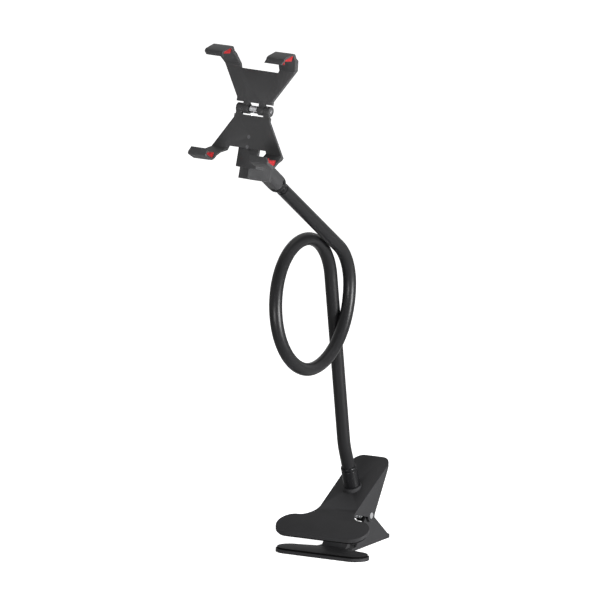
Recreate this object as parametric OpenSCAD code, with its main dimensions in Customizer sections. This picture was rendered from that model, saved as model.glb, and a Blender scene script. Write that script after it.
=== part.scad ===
// Clip phone holder: a sprung desk clamp carries a looped gooseneck, and a ball joint
// at its end carries a sprung clip with four claws.
// X runs along the clamp's pivot pin, Y to the back and Z up. The origin is the middle
// of the pivot pin.

/* [Desk clamp] */
// Width of the handles across the upper side flanges
handle_w = 34; // [32:0.5:38]
// Width of the jaws from end to end
jaw_w = 83; // [78:1:90]
// Depth of the jaws' lobes, front to back
jaw_depth = 26; // [24:0.5:28]
// Thickness of the moulded jaw and handle plates
plate_t = 2.6; // [2.2:0.1:3]
// Thickness of the side flanges
flange_t = 2.2; // [1.8:0.1:2.6]
// Radius of the hollow corners between handle and jaw
corner_r = 11.5; // [9:0.5:12]
// Radius of the handle's rear corners
handle_corner_r = 9; // [6:0.5:12]
// Radius of the lower handle's rear corners
lower_corner_r = 4; // [2.5:0.5:5]
// Distance from the pivot forward to the front edge of the jaws
jaw_reach = 60; // [56:1:66]
// Distance from the pivot back to the end of the upper handle
handle_reach = 34; // [30:1:38]
// Distance from the pivot back to the end of the lower handle
lower_reach = 36; // [32:1:38]
// Height of the upper handle's top face straight above the pivot
handle_rise = 21.6; // [20:0.2:24]
// Slope of the upper handle
handle_pitch = 29; // [26:0.5:31]
// Slope of the upper jaw
jaw_pitch = 22; // [20:0.5:24]
// Distance from the pivot forward to the bend between handle and jaw
bend_ahead = 25.3; // [22:0.5:28]
// Depth of the lower plate's underside below the pivot
base_drop = 24.5; // [23:0.5:27]
// Thickness of the rubber jaw pads
pad_t = 1.5; // [1:0.1:2]
// Margin of the pads inside the jaw's outline
pad_margin = 1.2; // [0.8:0.1:2]
// Thickness of the front wall on the lower plate
wall_t = 2.4; // [2:0.1:3]
// Distance from the pivot forward to the front wall
wall_ahead = 27; // [25:0.5:29]
// Radius of the hollow at the foot of the front wall
wall_hollow_r = 8; // [5:0.5:9]

/* [Clamp pivot] */
// Diameter of the pivot pin
pin_d = 5; // [4:0.1:5.4]
// Radius of the round bosses on the flanges at the pivot
pivot_boss_r = 5.2; // [4.8:0.1:6]
// Diameter of the plastic sleeve on the pin
sleeve_d = 7.2; // [6.8:0.1:7.4]
// Diameter of the clamp spring's wire
spring_wire_d = 1.6; // [1.2:0.1:1.8]
// Mean radius of the clamp spring's coils
spring_coil_r = 4.7; // [4.6:0.05:5]
// Turns of each of the clamp spring's two coils
spring_turns = 3; // [2:1:3]

/* [Arm foot] */
// Distance from the pivot back to the foot of the arm
foot_back = -0.8; // [-2:0.2:1]
// Forward tilt of the foot ferrule
foot_tilt = 20; // [17:0.5:23]
// Length of the foot ferrule above its ring
ferrule_len = 17.5; // [15:0.5:20]
// Diameter of the foot ferrule at its top
ferrule_top_d = 12; // [11.8:0.1:12.6]
// Diameter of the foot ferrule at its bottom
ferrule_bottom_d = 13.4; // [13:0.1:14]
// Diameter of the ring under the ferrule
ring_d = 14.8; // [14.2:0.1:16]
// Height of the ring above the handle, on the ferrule's axis
ring_h = 2.4; // [2:0.1:3]
// Diameter of the foot screw's shank
foot_screw_d = 4; // [3:0.1:4.2]

/* [Gooseneck] */
// Diameter of the flexible tube
tube_d = 10; // [9.6:0.1:10.2]
// Diameter of the metal core inside the tube
core_d = 5.6; // [5:0.1:6]
// Straight stretch from the handle to the first bend
foot_run = 34.5; // [32:0.5:40]
// Radius of the first bend
foot_bend_r = 55; // [40:1:70]
// Forward lean of the straight lower run
run_lean = 8.5; // [7:0.5:10]
// Length of the straight lower run
lower_run = 137.5; // [135:0.5:145]
// Radius of the loop at its back top
loop_top_r = 43; // [42:0.5:45]
// Radius of the loop at its front top
loop_front_r = 53.4; // [52:0.5:55]
// Radius of the loop at its front bottom
loop_bottom_r = 49.4; // [48:0.5:51]
// Radius of the loop at its back bottom
loop_back_r = 58; // [57:0.5:60]
// Radius of the last bend into the upper run
last_bend_r = 41; // [38:0.5:43]
// Forward lean of the straight upper run
upper_lean = 55.2; // [52:0.5:58]
// Length of the straight upper run, up to the middle of the ball
upper_run = 119; // [110:1:125]
// Gap between the strands where the loop passes itself
strand_gap = 0.6; // [0.5:0.1:1.5]
// Length of the lower run below the arm's first bending point
foot_hinge_up = 12; // [10:1:20]
// Distance between the two bending points near each end
hinge_pitch = 24; // [22:1:30]
// Length of the upper run from the last bending point to the ball
head_hinge_back = 27; // [26:1:32]
// Gap at a bending point between the stretches of tube
bend_gap = 0.3; // [0.25:0.05:0.4]

/* [Ball joint] */
// Diameter of the ball
ball_d = 10; // [9.8:0.1:10.2]
// Diameter of the ball's neck
ball_neck_d = 3.6; // [3.2:0.1:3.8]
// Outer diameter of the domed nut
nut_d = 14.6; // [14.4:0.1:15]
// Thickness of the collet that grips the ball
collet_t = 0.45; // [0.4:0.05:0.5]
// Width of the socket's neck across its flats
neck_w = 13.2; // [12.8:0.1:13.6]
// Length of the socket's neck from the ball to the bracket block
neck_len = 27; // [26:0.5:28]

/* [Bracket block] */
// Width of the bracket block
block_w = 28; // [26:0.5:30]
// Height of the bracket block
block_h = 14.3; // [13:0.1:16]
// Depth of the block's two slanted front faces
block_nose = 10.2; // [9:0.2:11]
// Depth of the whole block
block_depth = 20.4; // [20:0.2:22]
// Height of the clip's middle above the ball
clip_rise = 72.4; // [70:0.5:75]
// Distance from the ball forward to the front of the clip
clip_ahead = 60.4; // [58:0.5:63]
// Lean of the clip to the back
clip_lean = 15.7; // [13:0.5:18]
// Small roll of the clip, its right end down
clip_roll = 1.7; // [0:0.1:3]

/* [Phone clip] */
// Width of the phone that the clip stands open for
phone_w = 78.1; // [76:0.1:80]
// Width of a claw
claw_w = 16; // [14:0.5:18]
// Distance between the middles of a half's two claws
claw_pitch = 55.8; // [52:0.2:58]
// Depth of a claw, from the inside of its lip to its rear wall
claw_depth = 13.6; // [13:0.1:14.5]
// Overlap of a claw's lip on the phone's front
lip_overlap = 2.6; // [2:0.1:3.2]
// Thickness of a claw's lip
lip_t = 2; // [1.6:0.1:2.4]
// Thickness of the halves' rear plates
arm_t = 3; // [2.6:0.1:3.2]
// Distance from the phone's front back to the rear plates' front face
arm_back = 24.8; // [24:0.2:26]
// Thickness of the red claw pads
claw_pad_t = 2.1; // [1.6:0.1:2.2]
// Clearance between the pads and the phone
phone_clearance = 0.2; // [0.1:0.05:0.4]
// Diameter of the clip's hinge pin
clip_pin_d = 3; // [2.6:0.1:3.2]
// Outer radius of the clip's knuckles
knuckle_r = 4; // [3.8:0.1:4.2]
// Half the width of the clip's hinge
hinge_half_w = 15; // [14.5:0.1:16]
// Diameter of the clip spring's wire
clip_wire_d = 1.2; // [1:0.1:1.3]

/* [Fits] */
// Clearance on radius of a pin that stays still in its bore
fixed_fit = 0.02; // [0.01:0.01:0.03]
// Clearance on radius of a pin that turns in its bore
running_fit = 0.06; // [0.04:0.01:0.09]
// Clearance between flat faces that slide past each other
side_fit = 0.2; // [0.15:0.05:0.3]

/* [Hidden] */
$fn = 48;
eps = 0.01;
far = 300;

// Rigid placements as matrices
function move(v) = [[1, 0, 0, v.x], [0, 1, 0, v.y], [0, 0, 1, v.z], [0, 0, 0, 1]];
function turn_x(a) = [[1, 0, 0, 0], [0, cos(a), -sin(a), 0], [0, sin(a), cos(a), 0], [0, 0, 0, 1]];
function turn_y(a) = [[cos(a), 0, sin(a), 0], [0, 1, 0, 0], [-sin(a), 0, cos(a), 0], [0, 0, 0, 1]];
function turn_z(a) = [[cos(a), -sin(a), 0, 0], [sin(a), cos(a), 0, 0], [0, 0, 1, 0], [0, 0, 0, 1]];

// Sheet lines of the upper plate
slope_rise = tan(handle_pitch);
function handle_top(y) = handle_rise + slope_rise * y;
function jaw_top(y) = handle_top(-bend_ahead) + tan(jaw_pitch) * (y + bend_ahead);
handle_under = plate_t / cos(handle_pitch);
jaw_under = plate_t / cos(jaw_pitch);
under_bend = -bend_ahead + (handle_under - jaw_under) / (slope_rise - tan(jaw_pitch));
upper_flange_x = handle_w / 2 - flange_t;
lower_flange_x = upper_flange_x - side_fit;
lower_inner_x = lower_flange_x - flange_t;

// The gooseneck is a chain of steps, each a run [length], a bend [radius, angle] to the
// front, or a roll about the tube's own axis
function run(length) = ["run", length];
function bend(radius, angle) = ["bend", radius, angle];
function roll(angle) = ["roll", angle];
function step_place(s) =
    s[0] == "run" ? move([0, 0, s[1]]) :
    s[0] == "bend" ? move([0, -s[1], 0]) * turn_x(s[2]) * move([0, s[1], 0]) :
    turn_z(s[1]);
function place_after(start, steps, count) =
    count == 0 ? start : place_after(start, steps, count - 1) * step_place(steps[count - 1]);
function after(start, steps) = place_after(start, steps, len(steps));

// The second strand passes beside the first: the front half of the loop leans over
strand_shift = tube_d + strand_gap;
loop_roll = asin(strand_shift / (loop_front_r + loop_bottom_r));

FOOT_STEPS = [run(foot_run), bend(-foot_bend_r, run_lean - foot_tilt), run(foot_hinge_up)];
LOWER_STEPS = [run(hinge_pitch)];
LOOP_STEPS = [
    run(lower_run - foot_hinge_up - hinge_pitch),
    bend(loop_top_r, 90 - run_lean), roll(loop_roll),
    bend(loop_front_r, 90), bend(loop_bottom_r, 90), roll(loop_roll),
    bend(loop_back_r, 90), bend(last_bend_r, upper_lean),
    run(upper_run - head_hinge_back - hinge_pitch)
];
UPPER_STEPS = [run(hinge_pitch)];
TIP_STEPS = [run(head_hinge_back)];

FOOT = move([0, foot_back, handle_top(foot_back)]) * turn_x(foot_tilt);
HINGE_1 = after(FOOT, FOOT_STEPS);
HINGE_2 = after(HINGE_1, LOWER_STEPS);
HINGE_3 = after(HINGE_2, LOOP_STEPS);
HINGE_4 = after(HINGE_3, UPPER_STEPS);
BALL = after(HINGE_4, TIP_STEPS);

// The clip's frame: its origin is the middle of the phone's front face
CLIP = move([BALL[0][3], BALL[1][3] - clip_ahead, BALL[2][3] + clip_rise])
    * turn_y(clip_roll) * turn_x(-clip_lean);

// Stations along the tube's axis at both ends
tube_foot_gap = ring_h + 4;
nut_reach = nut_d / 2;
cap_back = nut_reach + 0.4;
cap_len = 3;
core_gap = 6;
core_fit = 0.05;

// Outline of one jaw bar with full-round ends, seen from above
module jaw_bar(margin) {
    end_r = jaw_depth / 2 - margin;
    reach = jaw_w / 2 - margin - end_r;
    translate([0, jaw_depth / 2 - jaw_reach]) {
        square([2 * reach, 2 * end_r], center = true);
        for (side = [-1, 1]) translate([side * reach, 0]) circle(end_r);
    }
}

// Outline of a jaw with its handle, seen from above
module plate_outline(width, reach, rear_r) {
    jaw_rear = jaw_depth - jaw_reach;
    jaw_bar(0);
    translate([-width / 2, jaw_rear - eps])
        square([width, reach - rear_r - jaw_rear + eps]);
    translate([-width / 2 + rear_r, 0])
        square([width - 2 * rear_r, reach]);
    for (side = [-1, 1]) {
        translate([side * (width / 2 - rear_r), reach - rear_r])
            circle(rear_r);
        difference() {
            translate([side * (width + corner_r) / 2, jaw_rear + corner_r / 2])
                square([corner_r, corner_r], center = true);
            translate([side * (width / 2 + corner_r), jaw_rear + corner_r])
                circle(corner_r);
        }
    }
}

// A profile drawn as [y, z] and drawn out along X
module across(width) {
    rotate([90, 0, 90]) linear_extrude(width, center = true) children();
}

// A rod along X through the pivot
module pivot_rod(radius, width) {
    rotate([0, 90, 0]) cylinder(h = width, r = radius, center = true);
}

// Side profile of the upper sheet, thickened downwards
module upper_sheet_profile() {
    front = -jaw_reach - 1;
    rear = handle_reach + 1;
    bend = -bend_ahead;
    polygon([
        [front, jaw_top(front)], [bend, handle_top(bend)], [rear, handle_top(rear)],
        [rear, handle_top(rear) - handle_under],
        [under_bend, handle_top(under_bend) - handle_under],
        [front, jaw_top(front) - jaw_under]
    ]);
}

// Side profile of a flange: its upper edge lies inside the sheet
module upper_flange_profile() {
    front = under_bend;
    rear = handle_reach - handle_corner_r + 2;
    into = handle_under / 2;
    polygon([
        [front, handle_top(front) - handle_under], [front, handle_top(front) - into],
        [rear, handle_top(rear) - into], [rear, handle_top(rear) - handle_under],
        [pivot_boss_r, 0], [-pivot_boss_r, 0]
    ]);
    circle(pivot_boss_r);
}

module foot_place() {
    multmatrix(FOOT) children();
}

// Boss under the handle that gives the foot screw a square seat
foot_boss_h = 7;
foot_boss_r = 4.4;
foot_screw_head_d = 7;
foot_screw_head_h = 2;

module clamp_upper_plate() {
    color([0.16, 0.16, 0.17]) difference() {
        union() {
            intersection() {
                linear_extrude(2 * far, center = true)
                    plate_outline(handle_w, handle_reach, handle_corner_r);
                union() {
                    across(jaw_w + 2) upper_sheet_profile();
                    for (side = [-1, 1]) translate([side * handle_w / 2, 0, 0])
                        across(2 * flange_t) upper_flange_profile();
                }
            }
            foot_place() translate([0, 0, -foot_boss_h])
                cylinder(h = foot_boss_h - plate_t / 2, r = foot_boss_r);
        }
        pivot_rod(pin_d / 2 + fixed_fit, handle_w + 2);
        foot_place() translate([0, 0, -far / 2])
            cylinder(h = far, d = foot_screw_d + 2 * fixed_fit);
    }
}

module lower_flange_profile() {
    rear = lower_reach - lower_corner_r;
    polygon([
        [-wall_ahead + 2 * wall_t, -base_drop], [rear, -base_drop],
        [rear, -base_drop + plate_t], [pivot_boss_r, 0], [-pivot_boss_r, 0]
    ]);
    circle(pivot_boss_r);
}

// Front wall that rises from the lower jaw in a hollow
wall_top = -3;
wall_half_w = lower_inner_x - 1.2;

module front_wall_profile() {
    floor_z = -base_drop + plate_t;
    translate([-wall_ahead, floor_z - eps]) square([wall_t, wall_top - floor_z + eps]);
    difference() {
        translate([-wall_ahead - wall_hollow_r, floor_z - eps])
            square([wall_hollow_r + eps, wall_hollow_r + eps]);
        translate([-wall_ahead - wall_hollow_r, floor_z + wall_hollow_r])
            circle(wall_hollow_r);
    }
}

module clamp_lower_plate() {
    color([0.14, 0.14, 0.15]) difference() {
        union() {
            translate([0, 0, -base_drop]) linear_extrude(plate_t)
                plate_outline(2 * lower_flange_x, lower_reach, lower_corner_r);
            for (side = [-1, 1]) translate([side * (lower_flange_x - flange_t / 2), 0, 0])
                across(flange_t) lower_flange_profile();
            across(2 * wall_half_w) front_wall_profile();
        }
        pivot_rod(pin_d / 2 + running_fit, handle_w);
    }
}

module clamp_upper_pad() {
    front = -jaw_reach;
    rear = jaw_depth - jaw_reach;
    color([0.07, 0.07, 0.07]) intersection() {
        linear_extrude(2 * far, center = true) jaw_bar(pad_margin);
        across(jaw_w) polygon([
            [front, jaw_top(front) - jaw_under], [rear, jaw_top(rear) - jaw_under],
            [rear, jaw_top(rear) - jaw_under - pad_t / cos(jaw_pitch)],
            [front, jaw_top(front) - jaw_under - pad_t / cos(jaw_pitch)]
        ]);
    }
}

module clamp_lower_pad() {
    color([0.07, 0.07, 0.07]) difference() {
        translate([0, 0, -base_drop + plate_t]) linear_extrude(pad_t) jaw_bar(pad_margin);
        translate([0, -wall_ahead - wall_hollow_r, -base_drop + plate_t])
            cube([2 * wall_half_w + 0.6, 2 * 0.3 + 2 * eps, far], center = true);
        translate([-wall_half_w - 0.3, -wall_ahead - wall_hollow_r - 0.3, -base_drop])
            cube([2 * wall_half_w + 0.6, far, far]);
    }
}

module clamp_pin() {
    color([0.75, 0.76, 0.78]) pivot_rod(pin_d / 2, handle_w);
}

sleeve_half_w = lower_inner_x - side_fit;

module clamp_spring_sleeve() {
    color([0.1, 0.1, 0.1]) difference() {
        pivot_rod(sleeve_d / 2, 2 * sleeve_half_w);
        pivot_rod(pin_d / 2 + running_fit, handle_w);
    }
}

// Rings of points carried along a path without twist, joined into one closed wire
function unit(v) = v / norm(v);
function tangents(path) = [for (i = [0:len(path) - 1])
    unit(path[min(i + 1, len(path) - 1)] - path[max(i - 1, 0)])];
function carried(path, t, start) = [for (i = 0, u = unit(start - (start * t[0]) * t[0]);
    i < len(path);
    i = i + 1, u = i < len(path) ? unit(u - (u * t[i]) * t[i]) : u) u];

module wire(path, wire_d, start, sides = 8) {
    t = tangents(path);
    u = carried(path, t, start);
    count = len(path);
    points = [for (i = [0:count - 1], k = [0:sides - 1])
        let (a = 360 * k / sides)
        path[i] + wire_d / 2 * (cos(a) * u[i] + sin(a) * cross(t[i], u[i]))];
    skin = [for (i = [0:count - 2], k = [0:sides - 1])
        let (a = i * sides + k, b = i * sides + (k + 1) % sides)
        [a, a + sides, b + sides, b]];
    ends = [[for (k = [0:sides - 1]) k],
            [for (k = [sides - 1:-1:0]) (count - 1) * sides + k]];
    polyhedron(points, concat(skin, ends), convexity = 6);
}

// A coil about X from angle start to angle stop, angles from +Y towards +Z
function coil(x0, x1, radius, start, stop, steps) = [for (i = [0:steps])
    let (f = i / steps, a = start + f * (stop - start))
    [x0 + f * (x1 - x0), radius * cos(a), radius * sin(a)]];

// Double torsion spring: two coils joined by a bar under the upper handle, with a leg
// at each side on the lower handle
coil_pitch = spring_wire_d + 0.12;
coil_inner_x = 5.2;
upper_leg_rise = 52;
lower_leg_drop = 53;
leg_clear = 0.05;
coil_steps = 14;

function mirrored(points) = [for (i = [len(points) - 1:-1:0])
    [-points[i].x, points[i].y, points[i].z]];

module clamp_spring() {
    wire_r = spring_wire_d / 2;
    a0 = 90 + upper_leg_rise;
    a1 = 270 - lower_leg_drop + 360 * spring_turns;
    x1 = coil_inner_x + coil_pitch * (a1 - a0) / 360;
    start = [coil_inner_x, spring_coil_r * cos(a0), spring_coil_r * sin(a0)];
    stop = [x1, spring_coil_r * cos(a1), spring_coil_r * sin(a1)];
    up = [0, cos(upper_leg_rise), sin(upper_leg_rise)];
    down = [0, cos(lower_leg_drop), -sin(lower_leg_drop)];
    under = handle_top(start.y) - handle_under - start.z - wire_r / cos(handle_pitch);
    upper_leg = (under - leg_clear) / (up.z - slope_rise * up.y);
    lower_leg = (stop.z + base_drop - plate_t - wire_r - leg_clear) / -down.z;
    tip = start + upper_leg * up;
    corner = [1.3, 0, 0];
    half = concat(
        [[0, tip.y, tip.z], tip - corner, tip - 0.3 * corner - 0.4 * up, tip - 1.3 * up,
            start + 1.5 * up],
        coil(coil_inner_x, x1, spring_coil_r, a0, a1, round(coil_steps * (a1 - a0) / 360)),
        [stop + 1.5 * down, stop + lower_leg * down]
    );
    path = concat(mirrored([for (i = [1:len(half) - 1]) half[i]]), half);
    color([0.8, 0.8, 0.82]) wire(path, spring_wire_d, [0, 0, 1]);
}

// One step of the gooseneck as a round rod, drawn out a little past both its ends
module step_rod(s, radius, past) {
    if (s[0] == "run") translate([0, 0, -past]) cylinder(h = s[1] + 2 * past, r = radius);
    if (s[0] == "bend") {
        more = past / abs(s[1]) * 180 / PI;
        translate([0, -s[1], 0]) rotate([0, 0, s[1] > 0 ? 0 : 180])
            rotate([90, 0, 90]) rotate([0, 0, -more])
                rotate_extrude(angle = abs(s[2]) + 2 * more)
                    translate([abs(s[1]), 0]) circle(radius);
    }
}

// A chain of rods. Every other rod is a hair slimmer and reaches into its neighbours,
// so that no two round faces lie on each other
hair = 0.02;
reach_in = 0.3;

module chain(steps, radius, domed = false, from = 0, slim = false) {
    if (from < len(steps)) {
        s = steps[from];
        step_rod(s, slim ? radius - hair : radius, slim ? reach_in : 0);
        multmatrix(step_place(s))
            chain(steps, radius, domed, from + 1, s[0] == "roll" ? slim : !slim);
    } else if (domed) intersection() {
        sphere(radius);
        translate([-2 * radius, -2 * radius, 0]) cube(4 * radius);
    }
}

// The same steps with the first run and the last run cut shorter
function trimmed(steps, head, tail) = [for (i = [0:len(steps) - 1])
    let (cut = (i == 0 ? head : 0) + (i == len(steps) - 1 ? tail : 0))
    cut > 0 ? run(steps[i][1] - cut) : steps[i]];

// One stretch of tube between two bending points: it starts in a round hollow, ends in
// a dome, and is bored for its core
module tube_stretch(start, steps, head, tail, bore_head, bore_tail) {
    multmatrix(start) difference() {
        translate([0, 0, head]) chain(trimmed(steps, head, tail), tube_d / 2, tail == 0);
        if (head == 0) sphere(tube_d / 2 + bend_gap);
        translate([0, 0, bore_head])
            chain(trimmed(steps, bore_head, bore_tail), core_d / 2 + core_fit);
    }
}

module core_stretch(start, steps, head, tail) {
    color([0.72, 0.72, 0.74]) multmatrix(start) translate([0, 0, head])
        chain(trimmed(steps, head, tail), core_d / 2);
}

cap_plug = 4.5;
tip_end = cap_back + cap_len;
tube_color = [0.2, 0.2, 0.2];

module gooseneck_foot() color(tube_color)
    tube_stretch(FOOT, FOOT_STEPS, tube_foot_gap, 0, tube_foot_gap - eps, core_gap);
module gooseneck_lower() color(tube_color)
    tube_stretch(HINGE_1, LOWER_STEPS, 0, 0, core_gap, core_gap);
module gooseneck_loop() color(tube_color)
    tube_stretch(HINGE_2, LOOP_STEPS, 0, 0, core_gap, core_gap);
module gooseneck_upper() color(tube_color)
    tube_stretch(HINGE_3, UPPER_STEPS, 0, 0, core_gap, core_gap);
module gooseneck_tip() color(tube_color)
    tube_stretch(HINGE_4, TIP_STEPS, 0, tip_end, core_gap, tip_end - eps);

module core_foot() core_stretch(FOOT, FOOT_STEPS, tube_foot_gap, core_gap);
module core_lower() core_stretch(HINGE_1, LOWER_STEPS, core_gap, core_gap);
module core_loop() core_stretch(HINGE_2, LOOP_STEPS, core_gap, core_gap);
module core_upper() core_stretch(HINGE_3, UPPER_STEPS, core_gap, core_gap);
module core_tip() core_stretch(HINGE_4, TIP_STEPS, core_gap, tip_end + cap_plug + 0.3);

// Ring under the ferrule, cut to the slope of the handle
module arm_foot_ring() {
    color([0.12, 0.12, 0.12]) difference() {
        foot_place() difference() {
            translate([0, 0, -ring_h]) cylinder(h = 2 * ring_h, d = ring_d);
            translate([0, 0, -far / 2]) cylinder(h = far, d = foot_screw_d + 2 * fixed_fit);
        }
        translate([0, foot_back, handle_top(foot_back)]) rotate([handle_pitch, 0, 0])
            translate([-far / 2, -far / 2, -far]) cube(far);
    }
}

module arm_foot_ferrule() {
    lip = 0.7;
    top = ring_h + ferrule_len;
    seat_r = tube_d / 2 + core_fit;
    screw_r = foot_screw_d / 2 + fixed_fit;
    color([0.15, 0.15, 0.15]) foot_place() rotate_extrude() polygon([
        [screw_r, ring_h], [ferrule_bottom_d / 2, ring_h],
        [ferrule_bottom_d / 2, ring_h + 2 * lip],
        [ferrule_top_d / 2, top - lip], [ferrule_top_d / 2 - lip / 2, top],
        [seat_r, top], [seat_r, tube_foot_gap], [screw_r, tube_foot_gap]
    ]);
}

module arm_foot_screw() {
    drive_d = 2.6;
    color([0.7, 0.7, 0.72]) foot_place() translate([0, 0, -foot_boss_h]) difference() {
        union() {
            cylinder(h = foot_boss_h + tube_foot_gap - 0.4, d = foot_screw_d);
            translate([0, 0, -foot_screw_head_h])
                cylinder(h = foot_screw_head_h, d = foot_screw_head_d);
        }
        translate([0, 0, -foot_screw_head_h - eps])
            cylinder(h = foot_screw_head_h * 0.7, d = drive_d, $fn = 6);
    }
}

module ball_place() {
    multmatrix(BALL) children();
}

ball_r = ball_d / 2;
nut_bore_r = ball_r + running_fit;
collet_r = nut_bore_r + collet_t;
cavity_r = collet_r + running_fit;
spigot_r = cavity_r + 0.75;
spigot_len = 2;
stem_len = 2.4;
mouth_angle = 45;

// End piece crimped on the tube: its hollow face clears the nut at any tilt
module gooseneck_top_cap() {
    hollow_r = nut_reach + 0.3;
    color([0.18, 0.18, 0.18]) ball_place() difference() {
        union() {
            translate([0, 0, -tip_end]) cylinder(h = tip_end - 4, d = tube_d);
            translate([0, 0, -tip_end - cap_plug]) cylinder(h = cap_plug, d = core_d);
        }
        sphere(hollow_r);
        translate([0, 0, -cap_back - stem_len])
            cylinder(h = far, d = ball_neck_d + 2 * running_fit);
    }
}

module ball_stud() {
    color([0.78, 0.78, 0.8]) ball_place() {
        sphere(ball_r);
        translate([0, 0, -cap_back - stem_len])
            cylinder(h = cap_back + stem_len, d = ball_neck_d);
    }
}

// Split collet: a thin cup around the front of the ball
module ball_collet() {
    slot = 0.8;
    lip = 0.3;
    color([0.85, 0.85, 0.82]) ball_place() difference() {
        sphere(collet_r);
        sphere(nut_bore_r);
        translate([-far / 2, -far / 2, lip - far]) cube(far);
        cylinder(h = far, r = ball_r * 0.4);
        for (a = [0:90:270]) rotate([0, 0, a]) translate([0, -slot / 2, 0])
            cube([far, slot, ball_r * 0.75]);
    }
}

module ball_nut() {
    rim = 1.6;
    color([0.16, 0.16, 0.17]) ball_place() difference() {
        sphere(nut_reach);
        translate([-far / 2, -far / 2, rim]) cube(far);
        sphere(nut_bore_r);
        translate([0, 0, -0.1]) cylinder(h = far, r = spigot_r + running_fit);
        translate([0, 0, -far]) cylinder(h = far, r1 = far * tan(mouth_angle), r2 = 0);
    }
}

module clip_place() {
    multmatrix(CLIP) children();
}

// Bracket block and its plate, in the clip's frame: x to the right, y to the back, z up
nose_back = 33.6;
block_low = 54.3;
block_cheek = 2.8;
bracket_w = 18;
bracket_t = 2.8;
bracket_top = 16;
bracket_screw_d = 3;
bracket_screws_down = [22, 30];
arm_rear = arm_back + arm_t;

module bracket_block() {
    half = block_w / 2;
    tail = neck_w / 2 + 0.4;
    translate([0, nose_back, -block_low]) linear_extrude(block_h) polygon([
        [0, 0], [half, block_nose], [half, block_nose + block_cheek], [tail, block_depth],
        [-tail, block_depth], [-half, block_nose + block_cheek], [-half, block_nose]
    ]);
    tongue_h = 6;
    translate([-bracket_w / 2, arm_rear, block_h - block_low - tongue_h])
        cube([bracket_w, nose_back - arm_rear + block_nose * bracket_w / block_w, tongue_h]);
    translate([-bracket_w / 2, arm_rear, block_h - block_low - tongue_h])
        cube([bracket_w, bracket_t, block_low - block_h + tongue_h - bracket_top]);
}

module bracket_screw_places() {
    for (down = bracket_screws_down) translate([0, arm_back, -down])
        rotate([-90, 0, 0]) children();
}

module ball_socket() {
    groove = 0.35;
    neck_round_r = neck_w * 0.56;
    color([0.22, 0.22, 0.22]) difference() {
        union() {
            ball_place() {
                translate([0, 0, 0.1]) cylinder(h = spigot_len + 1, r = spigot_r);
                intersection() {
                    translate([0, 0, 1.6 + groove])
                        cylinder(h = neck_len - 1.6 - groove, r = neck_round_r);
                    translate([-neck_w / 2, -neck_w / 2, 0])
                        cube([neck_w, neck_w, neck_len]);
                }
            }
            clip_place() bracket_block();
        }
        ball_place() sphere(cavity_r);
        clip_place() bracket_screw_places() translate([0, 0, -eps])
            cylinder(h = 2 * bracket_t + arm_t, d = bracket_screw_d + 2 * fixed_fit);
    }
}

module bracket_screws() {
    head_d = 5.6;
    head_h = 1.8;
    color([0.7, 0.7, 0.72]) clip_place() bracket_screw_places() {
        translate([0, 0, 0.2]) cylinder(h = arm_t + bracket_t - 0.2, d = bracket_screw_d);
        translate([0, 0, arm_t + bracket_t]) difference() {
            cylinder(h = head_h, d = head_d);
            translate([0, 0, head_h / 2]) cylinder(h = head_h, d = 2.2, $fn = 6);
        }
    }
}

// Outline of a half seen from the front: two claws on arms that spread from the hinge
claw_out = claw_pitch / 2 + claw_w / 2;
claw_in = claw_pitch / 2 - claw_w / 2;
plate_low = knuckle_r + 1;

module half_outline(top) {
    web_top = 31;
    web_half = claw_in - 3;
    waist = hinge_half_w + 1;
    polygon([
        [-claw_out, top], [-claw_in, top], [-claw_in, 40], [-web_half, web_top],
        [web_half, web_top], [claw_in, 40], [claw_in, top], [claw_out, top],
        [claw_out, 40], [waist, plate_low + 3], [waist, plate_low],
        [-waist, plate_low], [-waist, plate_low + 3], [-claw_out, 40]
    ]);
}

// Side profile of a claw as [y, z] in the clip's frame, for the upper half
phone_half = phone_w / 2;
lip_in = -phone_clearance - 1.1;
lip_low = phone_half - lip_overlap;
pad_face = phone_half + phone_clearance;
roof_front = [lip_in, pad_face + claw_pad_t];
roof_peak = [8.4, roof_front.y + 5.2];
roof_back = [11.2, roof_peak.y - 0.6];
pocket_back = [claw_depth, pad_face + claw_pad_t + 0.2];
bend_up = 33;

module half_profile() {
    polygon([
        [lip_in, lip_low], roof_front, roof_peak, roof_back, pocket_back,
        [arm_back, bend_up], [arm_back, plate_low],
        [arm_rear, plate_low], [arm_rear, bend_up + 1.6], [claw_depth + 2.8, roof_front.y + 2.2],
        [roof_back.x + 1.4, roof_peak.y + 2.4], [roof_peak.x + 0.4, roof_peak.y + 3.4],
        [lip_in - 0.6, roof_front.y + 3], [lip_in - lip_t, roof_front.y + 1.2],
        [lip_in - lip_t, lip_low]
    ]);
}

hinge_back = arm_back + arm_t / 2 + 1.2;
inner_knuckle = [4.3, 9.6];
outer_knuckle = [inner_knuckle[1] + side_fit, hinge_half_w];

// Two knuckles of a half with the webs that join them to its plate
module knuckles(span, bore_r) {
    for (side = [-1, 1]) translate([side * (span[0] + span[1]) / 2, 0, 0]) difference() {
        union() {
            translate([0, hinge_back, 0]) rotate([0, 90, 0])
                cylinder(h = span[1] - span[0], r = knuckle_r, center = true);
            translate([(span[0] - span[1]) / 2, arm_back, 0])
                cube([span[1] - span[0], arm_t, plate_low + 1]);
        }
        translate([0, hinge_back, 0]) rotate([0, 90, 0])
            cylinder(h = span[1] - span[0] + 1, r = bore_r, center = true);
    }
}

module clip_half(span, bore_r) {
    difference() {
        intersection() {
            rotate([90, 0, 0]) linear_extrude(2 * far, center = true)
                half_outline(roof_peak.y + 4);
            across(claw_pitch + claw_w + 2) half_profile();
        }
        translate([0, hinge_back, 0]) rotate([0, 90, 0])
            cylinder(h = 2 * inner_knuckle[0], r = knuckle_r + 0.3, center = true);
    }
    knuckles(span, bore_r);
}

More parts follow.
